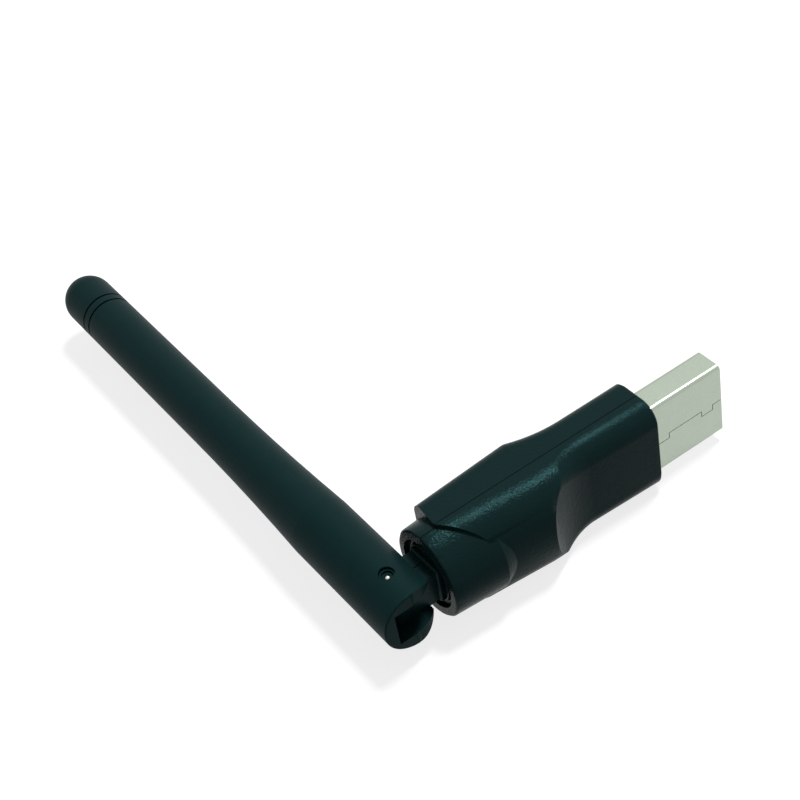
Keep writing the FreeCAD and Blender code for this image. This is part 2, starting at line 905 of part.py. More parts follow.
def lead_route(points):
    """Straight runs joined by the largest tangent arcs that the runs allow."""
    edges = []
    radii = []
    previous = points[0]
    for index in range(1, len(points) - 1):
        corner = points[index]
        back = points[index - 1] - corner
        ahead = points[index + 1] - corner
        half_turn = (math.pi - back.getAngle(ahead)) / 2
        radius = RUN_SHARE * min(back.Length, ahead.Length) / math.tan(half_turn)
        trim = radius * math.tan(half_turn)
        start = corner + Vector(back).normalize() * trim
        end = corner + Vector(ahead).normalize() * trim
        inward = (Vector(back).normalize() + Vector(ahead).normalize()).normalize()
        middle = corner + inward * (radius / math.cos(half_turn) - radius)
        edges.append(Part.LineSegment(previous, start).toShape())
        edges.append(Part.Arc(start, middle, end).toShape())
        radii.append(round(radius, 2))
        previous = end
    edges.append(Part.LineSegment(previous, points[-1]).toShape())
    return Part.Wire(edges), radii


def lead(name, label, points, radius):
    """A round lead along a route."""
    wire, radii = lead_route(points)
    section = Part.Wire(Part.Circle(points[0], points[1] - points[0], radius).toShape())
    tube = Part.BRepOffsetAPI.MakePipeShell(wire)
    tube.add(section)
    tube.build()
    tube.makeSolid()
    feature = doc.addObject("Part::Feature", name)
    feature.Shape = tube.shape()
    feature.Placement = FreeCAD.Placement()
    length = wire.Length
    print(label, "length", round(length, 2), "radii", radii,
          "volume ratio", round(feature.Shape.Volume / (math.pi * radius ** 2 * length), 4))
    return node(label, feature)


def board_coax():
    """The lead from the swivel's tail to its pad beside the chip."""
    radius = number(s.coax_radius)
    lay = number(board_front) - radius
    start = number(x_tail) + number(s.flange_clearance)
    pad_x = number(x_board_end) + number(s.lead_pad_end_gap)
    pad_z = number(s.lead_pad_offset)
    run = (pad_x - start) / LEAD_RUNS
    return lead("board_lead", "board_coax", [
        Vector(start, 0, 0),
        Vector(start + run, lay, 0),
        Vector(pad_x, lay, pad_z),
    ], radius)


# Swivel

neck_radius = s.lip_radius - s.neck_clearance
flange_radius = s.groove_radius - s.flange_clearance
tail_radius = s.bulkhead_radius - s.flange_clearance
cable_slot_end = x_pin + s.cable_slot_length
cable_radius = s.coax_radius + s.coax_clearance


def swivel_blank():
    """The whole swivel before it is parted: tongue, neck, flange and tail."""
    flange_end = x_bulkhead - s.flange_clearance
    neck = rod("swivel_neck", "X", neck_radius, (x_mouth + s.swivel_setback, flange_end))
    flange = rod("swivel_flange", "X", flange_radius, (x_groove + s.flange_clearance, flange_end))
    tail = rod("swivel_tail", "X", tail_radius, (flange_end, x_tail))
    bar = block(
        "swivel_bar",
        (x_pin, x_lip),
        (-s.tongue_half_width, s.tongue_half_width),
        (-s.tongue_half_height, s.tongue_half_height),
    )
    end = rod(
        "swivel_end", "Z", s.tongue_half_width, (-s.tongue_half_height, s.tongue_half_height), x=x_pin
    )
    solid = fuse("swivel_solid", neck, flange, tail, bar, end)
    bore = rod(
        "swivel_pin_bore", "Z", s.pin_radius + s.pin_clearance,
        (-(s.tongue_half_height * 2), s.tongue_half_height * 2), x=x_pin,
    )
    channel_limits = (cable_slot_end - cable_radius, x_tail + s.swivel_tail)
    channel = rod("swivel_channel", "X", cable_radius, channel_limits)
    slot = block(
        "swivel_cable_slot",
        (x_pin - s.tongue_half_width * 2, cable_slot_end),
        (s.pin_radius + s.pin_clearance * 4, s.tongue_half_width * 2),
        (-s.cable_slot_half_height, s.cable_slot_half_height),
    )
    well = block(
        "swivel_cable_well",
        (cable_slot_end - cable_radius * 2, cable_slot_end),
        (-cable_radius, s.tongue_half_width * 2),
        (-s.cable_slot_half_height, s.cable_slot_half_height),
    )
    return cut("swivel_whole", solid, bore, channel, slot, well)


def swivel_halves():
    """The swivel parted along its axis, so that its halves close round the pin and the lead."""
    whole = swivel_blank()
    near = (-(s.housing_length * 2), flat_seam)
    split = s.swivel_split / 2
    front_half = block("swivel_front_space", near, (-wide, -split), (-wide, wide))
    rear_half = block("swivel_rear_space", near, (split, wide), (-wide, wide))
    node("swivel_front", common("swivel_front", whole, front_half))
    node("swivel_rear", common("swivel_rear", whole, rear_half))
    node("swivel_coax", rod("swivel_coax", "X", s.coax_radius, (cable_slot_end - cable_radius, x_tail)))


# Antenna

slot_half_height = s.tongue_half_height + s.slot_clearance
slot_wall = s.tongue_half_width + s.slot_clearance
recess_floor = s.junction_radius - s.recess_depth
pin_top = recess_floor - s.pin_recess
pin_bottom = s.pin_floor - s.junction_radius


def knuckle_blank():
    """The round bar of the knuckle with the spigot that the sleeve slides over."""
    spigot_end = s.junction_reach + s.spigot_length
    edge = s.knuckle_bevel
    low = -s.knuckle_overhang
    body = turned("knuckle_bar", "XY_Plane", "V_Axis", [
        (0.0, low),
        (s.junction_radius - edge, low),
        (s.junction_radius, low + edge),
        (s.junction_radius, s.junction_reach),
        (s.spigot_radius, s.junction_reach),
        (s.spigot_radius, spigot_end),
        (0.0, spigot_end),
    ])
    return place(body, x_pin)


def antenna_knuckle():
    """The forked foot of the antenna: slot, swing relief, pin seat and lead bore."""
    reach = s.knuckle_overhang * 2
    slot = block(
        "knuckle_slot",
        (x_pin - slot_wall, x_pin + reach),
        (-reach, slot_wall),
        (-slot_half_height, slot_half_height),
    )
    corner = block("knuckle_corner", (x_pin, x_pin + reach), (-reach, flat_seam), (-reach, reach))
    swing = rod("knuckle_swing", "Z", s.ear_swing_radius, (-reach * 1.5, reach * 1.5), x=x_pin)
    relief = cut("knuckle_relief", corner, swing)
    pin_seat = rod("knuckle_pin_seat", "Z", s.pin_radius, (pin_bottom, s.junction_radius), x=x_pin)
    recess = rod("knuckle_recess", "Z", s.recess_radius, (recess_floor, s.junction_radius * 2), x=x_pin)
    lead_bore = rod("knuckle_lead_bore", "Y", cable_radius,
                    (flat_seam, s.junction_reach + s.spigot_length * 2), x=x_pin)
    return node(
        "antenna_knuckle",
        cut("antenna_knuckle", knuckle_blank(), slot, relief, pin_seat, recess, lead_bore),
    )


bore_end = s.tip_reach - s.tip_wall
bell_end = s.junction_reach + s.bell_length
bell_drop = s.junction_radius - s.rod_radius
bell_radius = (s.bell_length * s.bell_length + bell_drop * bell_drop) / (bell_drop * 2)


def antenna_sleeve():
    """The sleeve: belled foot, straight rod, two moulded rings and a round tip."""
    outline = [
        (s.spigot_radius, s.junction_reach),
        (s.junction_radius, s.junction_reach, bell_radius, False),
        (s.rod_radius, bell_end),
    ]
    for count in range(2):
        low = s.tip_reach - s.ring_from_tip + s.ring_pitch * count - s.ring_width / 2
        high = low + s.ring_width
        outline += [
            (s.rod_radius, low),
            (s.rod_radius - s.ring_depth, low),
            (s.rod_radius - s.ring_depth, high),
            (s.rod_radius, high),
        ]
    outline += [
        (s.rod_radius, s.tip_reach - s.rod_radius, s.rod_radius, True),
        (0.0, s.tip_reach),
        (0.0, bore_end),
        (s.spigot_radius, bore_end),
    ]
    return node("antenna_sleeve", place(turned("antenna_sleeve", "XY_Plane", "V_Axis", outline), x_pin))


def antenna_inside():
    """The lead, the brass tube on it, the radiator and the two rings that centre them."""
    radiator_end = bore_end - s.radiator_gap
    feed = radiator_end - s.radiator_length
    balun_start = feed - s.balun_length
    node("antenna_coax", rod("antenna_coax", "Y", s.coax_radius, (slot_wall, feed), x=x_pin))
    node("balun_tube", place(turned("balun_tube", "XY_Plane", "V_Axis", [
        (s.balun_radius - s.balun_wall, balun_start),
        (s.balun_radius, balun_start),
        (s.balun_radius, feed),
        (s.coax_radius, feed),
        (s.coax_radius, feed - s.balun_wall),
        (s.balun_radius - s.balun_wall, feed - s.balun_wall),
    ]), x_pin))
    node("radiator_wire", rod("radiator_wire", "Y", s.radiator_radius, (feed, radiator_end), x=x_pin))
    rings = (
        ("balun_spacer", s.balun_radius, balun_start + s.spacer_length),
        ("radiator_spacer", s.radiator_radius, radiator_end - s.spacer_length * 2),
    )
    for name, inner, start in rings:
        stop = start + s.spacer_length
        disc = rod(name + "_disc", "Y", s.spigot_radius, (start, stop), x=x_pin)
        hole = rod(name + "_hole", "Y", inner, (start - s.spacer_length, stop + s.spacer_length), x=x_pin)
        node(name, cut(name, disc, hole))


def hinge_pin():
    """The steel pin, pressed into both ears and free to turn in the tongue."""
    node("hinge_pin", rod("hinge_pin", "Z", s.pin_radius, (pin_bottom, pin_top), x=x_pin))


def check_document():
    """Stops if a feature failed or a piece is empty or broken."""
    for item in doc.Objects:
        if "Invalid" in item.State or "Error" in item.State:
            raise RuntimeError("failed: %s %s" % (item.Name, item.State))
    for piece in NODES:
        if piece.Shape.isNull() or not piece.Shape.isValid():
            raise RuntimeError("bad shape: " + piece.Label)


def main():
    """Builds every piece, checks it and writes it out."""
    housing_front()
    housing_rear()
    usb_shell()
    usb_insulator()
    contacts()
    circuit_board()
    board_parts()
    board_coax()
    swivel_halves()
    hinge_pin()
    antenna_knuckle()
    antenna_sleeve()
    antenna_inside()
    doc.recompute()
    check_document()
    os.makedirs("parts", exist_ok=True)
    for piece in NODES:
        piece.Shape.exportStep("parts/%s.step" % piece.Label)
        print(piece.Label, len(piece.Shape.Solids), "solids", round(piece.Shape.Volume, 2), "mm3")


main()
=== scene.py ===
"""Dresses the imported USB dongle: finishes for every piece, fine moulded detail, floor, light and camera."""

from __future__ import annotations

import json
import logging
import math
from collections.abc import Callable
from dataclasses import dataclass
from enum import Enum

import bpy
from mathutils import Euler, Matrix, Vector


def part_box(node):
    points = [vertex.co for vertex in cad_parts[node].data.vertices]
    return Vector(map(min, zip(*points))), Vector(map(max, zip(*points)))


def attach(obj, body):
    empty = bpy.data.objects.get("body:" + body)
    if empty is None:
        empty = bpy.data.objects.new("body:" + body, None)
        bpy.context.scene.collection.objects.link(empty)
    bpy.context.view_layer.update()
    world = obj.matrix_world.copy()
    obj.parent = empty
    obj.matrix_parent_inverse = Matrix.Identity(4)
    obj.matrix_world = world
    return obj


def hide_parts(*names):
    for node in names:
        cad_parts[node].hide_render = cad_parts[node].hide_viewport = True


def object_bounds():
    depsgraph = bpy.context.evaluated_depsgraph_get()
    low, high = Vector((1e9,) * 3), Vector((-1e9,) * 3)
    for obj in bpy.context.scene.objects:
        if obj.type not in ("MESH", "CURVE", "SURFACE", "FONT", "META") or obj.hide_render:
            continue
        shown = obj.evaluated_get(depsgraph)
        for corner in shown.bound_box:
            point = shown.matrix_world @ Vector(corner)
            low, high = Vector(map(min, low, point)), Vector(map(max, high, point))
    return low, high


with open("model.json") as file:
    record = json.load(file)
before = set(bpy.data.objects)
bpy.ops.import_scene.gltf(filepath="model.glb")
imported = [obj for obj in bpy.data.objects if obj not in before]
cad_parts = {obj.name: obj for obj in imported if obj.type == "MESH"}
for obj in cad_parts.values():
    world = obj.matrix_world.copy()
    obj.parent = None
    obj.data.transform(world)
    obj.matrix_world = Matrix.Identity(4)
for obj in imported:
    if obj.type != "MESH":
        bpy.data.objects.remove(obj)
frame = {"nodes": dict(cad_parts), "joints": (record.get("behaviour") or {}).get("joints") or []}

log = logging.getLogger("dongle")
Colour = tuple[float, float, float]
Stretch = tuple[float, float, float]
Socket = bpy.types.NodeSocket
MM = 0.001
CAD_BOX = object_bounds()
MOUTH_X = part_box("housing_front")[0].x
PIN_END_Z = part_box("hinge_pin")[1].z
HINGE_X = next(joint["pos_m"][0] for joint in frame["joints"] if joint["name"] == "antenna_tilt")
SHARP_EDGE = math.radians(40.0)
SMOOTH_EDGE = math.radians(35.0)
FACING = 0.9


# Node trees

class Nodes:
    """A tree of shader nodes, with short ways to add to it."""

    def __init__(self, tree: bpy.types.NodeTree) -> None:
        """Starts with the tree as it is."""
        self.tree = tree

    def add(self, kind: str, **settings: object) -> bpy.types.Node:
        """Adds a node and sets its plain properties.

        Args:
            kind: the type name of the node.
            **settings: the properties by their names.

        Returns:
            The new node.
        """
        made = self.tree.nodes.new(kind)
        for name, value in settings.items():
            setattr(made, name, value)
        return made

    def join(self, source: Socket, target: Socket) -> None:
        """Links one socket to another."""
        self.tree.links.new(source, target)

    def spread(self, value: Socket, low: float, high: float) -> Socket:
        """Maps a value from 0..1 onto another range.

        Args:
            value: the socket that gives the value.
            low: what 0 becomes.
            high: what 1 becomes.

        Returns:
            The socket that gives the mapped value.
        """
        ranged = self.add("ShaderNodeMapRange")
        ranged.inputs["To Min"].default_value = low
        ranged.inputs["To Max"].default_value = high
        self.join(value, ranged.inputs["Value"])
        return ranged.outputs["Result"]

    def looked_at(self) -> Socket:
        """Tells the rays that look at a surface from the rays that only light one.

        Returns:
            The socket that is 1 for camera, glossy and transmission rays, and 0 for the rest.
        """
        path = self.add("ShaderNodeLightPath")
        looks = path.outputs["Is Camera Ray"]
        for kind in ("Is Glossy Ray", "Is Transmission Ray"):
            either = self.add("ShaderNodeMath", operation="MAXIMUM")
            self.join(looks, either.inputs[0])
            self.join(path.outputs[kind], either.inputs[1])
            looks = either.outputs[0]
        return looks


class Recipe(Nodes):
    """A node material while it is being put together."""

    def __init__(self, name: str) -> None:
        """Starts an empty material with a principled shader.

        Args:
            name: the material's name.
        """
        self.material = bpy.data.materials.new(name)
        self.material.use_nodes = True
        super().__init__(self.material.node_tree)
        self.shader = self.tree.nodes["Principled BSDF"]
        self.place = self.add("ShaderNodeTexCoord").outputs["Object"]

    def noise(self, grain: float, detail: float, stretch: Stretch = (1.0, 1.0, 1.0)) -> Socket:
        """Adds grey noise with grains of a given size.

        Args:
            grain: the size of one grain.
            detail: how many finer layers lie in it.
            stretch: how much denser the grains lie along each axis.

        Returns:
            The socket that gives the noise.
        """
        mapping = self.add("ShaderNodeMapping")
        mapping.inputs["Scale"].default_value = stretch
        self.join(self.place, mapping.inputs["Vector"])
        texture = self.add("ShaderNodeTexNoise")
        texture.inputs["Scale"].default_value = 1.0 / grain
        texture.inputs["Detail"].default_value = detail
        self.join(mapping.outputs["Vector"], texture.inputs["Vector"])
        return texture.outputs["Fac"]

    def cells(self, grain: float) -> Socket:
        """Adds the distance to the nearest of scattered points, for sparks and pits.

        Args:
            grain: the distance between two points.

        Returns:
            The socket that gives the distance.
        """
        texture = self.add("ShaderNodeTexVoronoi", feature="F1")
        texture.inputs["Scale"].default_value = 1.0 / grain
        self.join(self.place, texture.inputs["Vector"])
        return texture.outputs["Distance"]

    def blend(self, value: Socket, first: Colour, second: Colour) -> Socket:
        """Mixes two colours by a value.

        Args:
            value: the socket that gives the value.
            first: the colour at 0.
            second: the colour at 1.

        Returns:
            The socket that gives the mixed colour.
        """
        mix = self.add("ShaderNodeMix", data_type="RGBA")
        mix.inputs["A"].default_value = (*first, 1.0)
        mix.inputs["B"].default_value = (*second, 1.0)
        self.join(value, mix.inputs["Factor"])
        return mix.outputs["Result"]

    def bump(self, *layers: tuple[Socket, float]) -> None:
        """Stacks height layers onto the shader's normal.

        Args:
            *layers: each layer's value and its height.
        """
        normal = None
        for value, height in layers:
            bump = self.add("ShaderNodeBump")
            bump.inputs["Strength"].default_value = 1.0
            bump.inputs["Distance"].default_value = height
            self.join(value, bump.inputs["Height"])
            if normal is not None:
                self.join(normal, bump.inputs["Normal"])
            normal = bump.outputs["Normal"]
        self.join(normal, self.shader.inputs["Normal"])


# Finishes

@dataclass(frozen=True, kw_only=True)
class Finish:
    """What every finish has.

    Attributes:
        name: the material's name.
        colour: the main colour.
        cloud: the colour of the wide, faint clouds.
        roughness: the middle roughness.
        grain: the size of one grain.
        height: how high the grains or marks stand.
        swing: how far the roughness goes either way.
        cloud_grains: the size of a cloud, in grains.
    """

    name: str
    colour: Colour
    cloud: Colour
    roughness: float
    grain: float
    height: float
    swing: float
    cloud_grains: float

    def mottle(self, recipe: Recipe, clouds: Socket, grains: Socket) -> None:
        """Lets the colour follow the clouds and the roughness follow the grains.

        Args:
            recipe: the material that is being put together.
            clouds: the socket that gives the clouds.
            grains: the socket that gives the grains.
        """
        colour = recipe.blend(clouds, self.colour, self.cloud)
        recipe.join(colour, recipe.shader.inputs["Base Color"])
        roughness = recipe.spread(grains, self.roughness - self.swing, self.roughness + self.swing)
        recipe.join(roughness, recipe.shader.inputs["Roughness"])


@dataclass(frozen=True, kw_only=True)
class MouldedPlastic(Finish):
    """Moulded plastic with a spark-eroded grain.

    Attributes:
        specular: how strongly the surface mirrors; 0.5 is common plastic.
        sheen: the tint of what it mirrors.
        pit_grains: the distance between two pits, in grains.
        pit_depth: the depth of a pit, in grain heights.
    """

    swing: float = 0.08
    cloud_grains: float = 9.0
    specular: float = 0.5
    sheen: Colour = (1.0, 1.0, 1.0)
    pit_grains: float = 1.6
    pit_depth: float = 0.5

    def build(self) -> bpy.types.Material:
        """Mixes the plastic.

        Returns:
            The material.
        """
        recipe = Recipe(self.name)
        grains = recipe.noise(self.grain, detail=3.0)
        clouds = recipe.noise(self.grain * self.cloud_grains, detail=2.0)
        self.mottle(recipe, clouds, grains)
        pits = recipe.cells(self.grain * self.pit_grains)
        recipe.bump((grains, self.height), (pits, self.height * self.pit_depth))
        recipe.shader.inputs["Specular IOR Level"].default_value = self.specular
        recipe.shader.inputs["Specular Tint"].default_value = (*self.sheen, 1.0)
        return recipe.material


@dataclass(frozen=True, kw_only=True)
class PlatedMetal(Finish):
    """Metal with faint rolling or drawing marks along one axis.

    Attributes:
        marks: how much denser the marks lie along each axis.
    """

    swing: float = 0.06
    cloud_grains: float = 30.0
    marks: Stretch

    def build(self) -> bpy.types.Material:
        """Mixes the metal.

        Returns:
            The material.
        """
        recipe = Recipe(self.name)
        lines = recipe.noise(self.grain, detail=2.0, stretch=self.marks)
        clouds = recipe.noise(self.grain * self.cloud_grains, detail=3.0)
        self.mottle(recipe, clouds, lines)
        recipe.bump((lines, self.height))
        recipe.shader.inputs["Metallic"].default_value = 1.0
        return recipe.material


TEAL = (0.3, 0.95, 1.0)
ROLLED_LENGTHWISE = (0.08, 1.0, 1.0)
DRAWN_ALONG_X = (0.1, 1.0, 1.0)
DRAWN_ALONG_Y = (1.0, 0.1, 1.0)
DRAWN_ALONG_Z = (1.0, 1.0, 0.1)

HOUSING = MouldedPlastic(
    name="housing_grain", colour=(0.0058, 0.0162, 0.0167), cloud=(0.0072, 0.0195, 0.02),
    roughness=0.24, grain=0.25 * MM, height=0.042 * MM, specular=0.042, sheen=TEAL,
)
SLEEVE = MouldedPlastic(
    name="sleeve_matt", colour=(0.0032, 0.0132, 0.0137), cloud=(0.0043, 0.0162, 0.0167),
    roughness=0.5, grain=0.2 * MM, height=0.012 * MM, specular=0.06, sheen=TEAL,
)
SWIVEL = MouldedPlastic(
    name="swivel_satin", colour=(0.004, 0.012, 0.0125), cloud=(0.0052, 0.0152, 0.0156),
    roughness=0.3, grain=0.2 * MM, height=0.012 * MM, specular=0.08, sheen=TEAL,
)
EPOXY = MouldedPlastic(
    name="chip_epoxy", colour=(0.02, 0.02, 0.02), cloud=(0.03, 0.03, 0.03),
    roughness=0.6, grain=0.05 * MM, height=0.003 * MM, specular=0.4,
)
NYLON = MouldedPlastic(
    name="tongue_nylon", colour=(0.78, 0.78, 0.74), cloud=(0.84, 0.84, 0.8),
    roughness=0.45, grain=0.1 * MM, height=0.002 * MM,
)
LAMINATE = MouldedPlastic(
    name="solder_mask", colour=(0.01, 0.13, 0.05), cloud=(0.02, 0.17, 0.07),
    roughness=0.3, grain=0.2 * MM, height=0.002 * MM,
)
CERAMIC = MouldedPlastic(
    name="ceramic_body", colour=(0.42, 0.3, 0.2), cloud=(0.5, 0.37, 0.26),
    roughness=0.5, grain=0.05 * MM, height=0.002 * MM,
)
JACKET = MouldedPlastic(
    name="lead_jacket", colour=(0.05, 0.05, 0.055), cloud=(0.07, 0.07, 0.075),
    roughness=0.4, grain=0.06 * MM, height=0.002 * MM,
)
SPACER = MouldedPlastic(
    name="spacer_natural", colour=(0.7, 0.7, 0.66), cloud=(0.78, 0.78, 0.74),
    roughness=0.5, grain=0.1 * MM, height=0.002 * MM,
)
NICKEL = PlatedMetal(
    name="plug_nickel", colour=(0.4, 0.452, 0.382), cloud=(0.365, 0.42, 0.35),
    roughness=0.28, grain=0.06 * MM, height=0.0008 * MM, marks=ROLLED_LENGTHWISE,
)
GOLD = PlatedMetal(
    name="contact_gold", colour=(0.85, 0.62, 0.26), cloud=(0.8, 0.56, 0.22),
    roughness=0.25, grain=0.05 * MM, height=0.0005 * MM, marks=DRAWN_ALONG_X,
)
STEEL = PlatedMetal(
    name="pin_steel", colour=(0.55, 0.55, 0.53), cloud=(0.48, 0.48, 0.47),
    roughness=0.28, grain=0.05 * MM, height=0.0008 * MM, marks=DRAWN_ALONG_Z,
)
CAN = PlatedMetal(
    name="can_metal", colour=(0.6, 0.6, 0.58), cloud=(0.53, 0.53, 0.52),
    roughness=0.35, grain=0.05 * MM, height=0.0008 * MM, marks=DRAWN_ALONG_X,
)
BRASS = PlatedMetal(
    name="balun_brass", colour=(0.72, 0.5, 0.2), cloud=(0.64, 0.44, 0.18),
    roughness=0.35, grain=0.06 * MM, height=0.0008 * MM, marks=DRAWN_ALONG_Y,
)
COPPER = PlatedMetal(
    name="wire_copper", colour=(0.72, 0.36, 0.2), cloud=(0.64, 0.3, 0.16),
    roughness=0.35, grain=0.06 * MM, height=0.0008 * MM, marks=DRAWN_ALONG_Y,
)

CAD_FINISHES: dict[str, MouldedPlastic | PlatedMetal] = {
    "housing_front": HOUSING, "housing_rear": HOUSING,
    "usb_shell": NICKEL, "usb_insulator": NYLON,
    "contact_power": GOLD, "contact_data_minus": GOLD, "contact_data_plus": GOLD, "contact_ground": GOLD,
    "circuit_board": LAMINATE, "radio_chip": EPOXY, "crystal": CAN, "voltage_regulator": EPOXY,
    "board_passives": CERAMIC, "board_coax": JACKET,
    "swivel_front": SWIVEL, "swivel_rear": SWIVEL, "swivel_coax": JACKET,
    "hinge_pin": STEEL, "antenna_knuckle": SLEEVE, "antenna_sleeve": SLEEVE, "antenna_coax": JACKET,
    "balun_tube": BRASS, "radiator_wire": COPPER, "balun_spacer": SPACER, "radiator_spacer": SPACER,
}


def dress(piece: bpy.types.Object, material: bpy.types.Material) -> None:
    """Puts one material on all of a piece."""
    piece.data.materials.clear()
    piece.data.materials.append(material)


@dataclass
class FrameDress:
    """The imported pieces, each given its finish.

    Attributes:
        finishes: the finish of each piece, by the piece's name.
    """

    finishes: dict[str, MouldedPlastic | PlatedMetal]

    def build(self) -> dict[str, bpy.types.Material]:
        """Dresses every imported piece, with one material for each finish.

        Returns:
            The materials by the names of their finishes.
        """
        made: dict[str, bpy.types.Material] = {}
        for name, finish in self.finishes.items():
            if finish.name not in made:
                made[finish.name] = finish.build()
            dress(frame["nodes"][name], made[finish.name])
            log.info("%s finished in %s", name, finish.name)
        return made


# Hand tools

def deselect() -> None:
    """Clears the selection, so that the next operator acts on its own piece alone."""
    bpy.ops.object.select_all(action="DESELECT")


def clear_marks(mesh: bpy.types.Mesh) -> None:
    """Takes the selection off a mesh's corners, edges and faces.

    Args:
        mesh: the mesh, with its object in object mode.
    """
    for parts in (mesh.vertices, mesh.edges, mesh.polygons):
        for part in parts:
            part.select = False


def select_faces(piece: bpy.types.Object, wanted: Callable[[bpy.types.MeshPolygon], bool]) -> None:
    """Selects a piece's faces by a test and goes into edit mode.

    Args:
        piece: the active object, in object mode, unturned and unscaled.
        wanted: the test of one face.
    """
    clear_marks(piece.data)
    for face in piece.data.polygons:
        face.select = wanted(face)
    bpy.ops.object.mode_set(mode="EDIT")
    bpy.ops.mesh.select_mode(type="FACE")


def select_open_edges() -> None:
    """Selects the edges around the openings of the piece in edit mode."""
    bpy.ops.mesh.select_mode(type="EDGE")
    bpy.ops.mesh.select_non_manifold()


def settle() -> None:
    """Writes the place, turn and scale of the active piece into its mesh."""
    bpy.ops.object.transform_apply(location=True, rotation=True, scale=True)


def round_edges(piece: bpy.types.Object, radius: float, segments: int = 3) -> None:
    """Rounds a piece's sharp edges and shades it smooth between them.

    Args:
        piece: the active object, in object mode.
        radius: the radius of the rounding.
        segments: how many facets the rounding has.
    """
    soft = piece.modifiers.new("rounding", "BEVEL")
    soft.width = radius
    soft.segments = segments
    soft.limit_method = "ANGLE"
    soft.angle_limit = SHARP_EDGE
    bpy.ops.object.modifier_apply(modifier=soft.name)
    bpy.ops.object.shade_smooth_by_angle(angle=SMOOTH_EDGE)


def report(piece: bpy.types.Object, place: str) -> None:
    """Logs a finished piece, where it is and how many faces it has."""
    log.info("%s made %s with %d faces", piece.name, place, len(piece.data.polygons))


def edge_angles(mesh: bpy.types.Mesh) -> dict[tuple[int, int], float]:
    """Measures how sharply a mesh turns over each edge between two faces.

    Args:
        mesh: the mesh.

    Returns:
        The angle between the two faces, in degrees, by the edge's corners.
    """
    sides: dict[tuple[int, int], list[Vector]] = {}
    for face in mesh.polygons:
        for key in face.edge_keys:
            sides.setdefault(key, []).append(face.normal)
    return {key: math.degrees(pair[0].angle(pair[1], 0.0)) for key, pair in sides.items() if len(pair) == 2}


# Softened forms

@dataclass
class SoftForm:
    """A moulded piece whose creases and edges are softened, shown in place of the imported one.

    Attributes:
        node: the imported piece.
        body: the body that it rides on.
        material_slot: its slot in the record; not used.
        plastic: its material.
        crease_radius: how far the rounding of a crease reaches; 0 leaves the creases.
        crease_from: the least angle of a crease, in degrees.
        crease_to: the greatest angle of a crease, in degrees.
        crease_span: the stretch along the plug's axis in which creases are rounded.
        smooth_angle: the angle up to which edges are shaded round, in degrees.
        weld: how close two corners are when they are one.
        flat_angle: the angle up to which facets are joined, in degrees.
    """

    node: str
    body: str
    material_slot: str
    plastic: bpy.types.Material
    crease_radius: float = 0.0
    crease_from: float = 12.0
    crease_to: float = 40.0
    crease_span: tuple[float, float] = (-29.0 * MM, -10.0 * MM)
    smooth_angle: float = 50.0
    weld: float = 0.001 * MM
    flat_angle: float = 0.3

    def copy(self) -> bpy.types.Object:
        """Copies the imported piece.

        Returns:
            The copy, with its own mesh, selected and active.
        """
        deselect()
        piece = bpy.data.objects.new(f"{self.node}_soft", frame["nodes"][self.node].data.copy())
        bpy.context.scene.collection.objects.link(piece)
        piece.select_set(True)
        bpy.context.view_layer.objects.active = piece
        return piece

    def join_facets(self) -> None:
        """Welds the loose triangles of the active piece and joins those that lie flat together."""
        bpy.ops.object.mode_set(mode="EDIT")
        bpy.ops.mesh.select_all(action="SELECT")
        bpy.ops.mesh.remove_doubles(threshold=self.weld)
        bpy.ops.mesh.dissolve_limited(angle_limit=math.radians(self.flat_angle))
        bpy.ops.mesh.select_all(action="DESELECT")
        bpy.ops.object.mode_set(mode="OBJECT")

    def soften_creases(self, piece: bpy.types.Object) -> None:
        """Rounds the shallow creases in the wanted stretch of the piece.

        Args:
            piece: the active object, in object mode.
        """
        angles = edge_angles(piece.data)
        corners = piece.data.vertices
        clear_marks(piece.data)
        low, high = self.crease_span
        for edge in piece.data.edges:
            angle = angles.get(edge.key, 0.0)
            along = [corners[index].co.x for index in edge.vertices]
            edge.select = self.crease_from < angle < self.crease_to and low < min(along) and max(along) < high
        bpy.ops.object.mode_set(mode="EDIT")
        bpy.ops.mesh.select_mode(type="EDGE")
        bpy.ops.mesh.bevel(offset=self.crease_radius, segments=3, profile=0.5, clamp_overlap=True)
        bpy.ops.object.mode_set(mode="OBJECT")

    def shade(self, piece: bpy.types.Object) -> None:
        """Shades the piece round over its soft edges and flat on its wide faces.

        Args:
            piece: the active object, in object mode.
        """
        bpy.ops.mesh.customdata_custom_splitnormals_clear()
        bpy.ops.object.shade_smooth_by_angle(angle=math.radians(self.smooth_angle))
        even = piece.modifiers.new("even_shading", "WEIGHTED_NORMAL")
        even.keep_sharp = True
        bpy.ops.object.modifier_apply(modifier=even.name)

    def build(self) -> None:
        """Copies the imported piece, joins its facets and softens it."""
        piece = self.copy()
        self.join_facets()
        if self.crease_radius > 0.0:
            self.soften_creases(piece)
        self.shade(piece)
        dress(piece, self.plastic)
        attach(piece, self.body)
        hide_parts(self.node)
        report(piece, f"for {self.node}")


# Turned rings

class Axis(Enum):
    """The way in which a turned piece faces, as the turn of its cylinder."""

    ALONG_X = (0.0, math.pi / 2.0, 0.0)
    ALONG_Z = (0.0, 0.0, 0.0)

    @property
    def way(self) -> Vector:
        """The direction of the axis."""
        return Vector((1.0, 0.0, 0.0)) if self is Axis.ALONG_X else Vector((0.0, 0.0, 1.0))


@dataclass(frozen=True)
class RingSizes:
    """The sizes of one turned ring.

    Attributes:
        length: how long it is along its axis.
        inner: the radius of its bore.
        outer: its outer radius.
        rounding: the radius of its edges.
    """

    length: float
    inner: float
    outer: float
    rounding: float


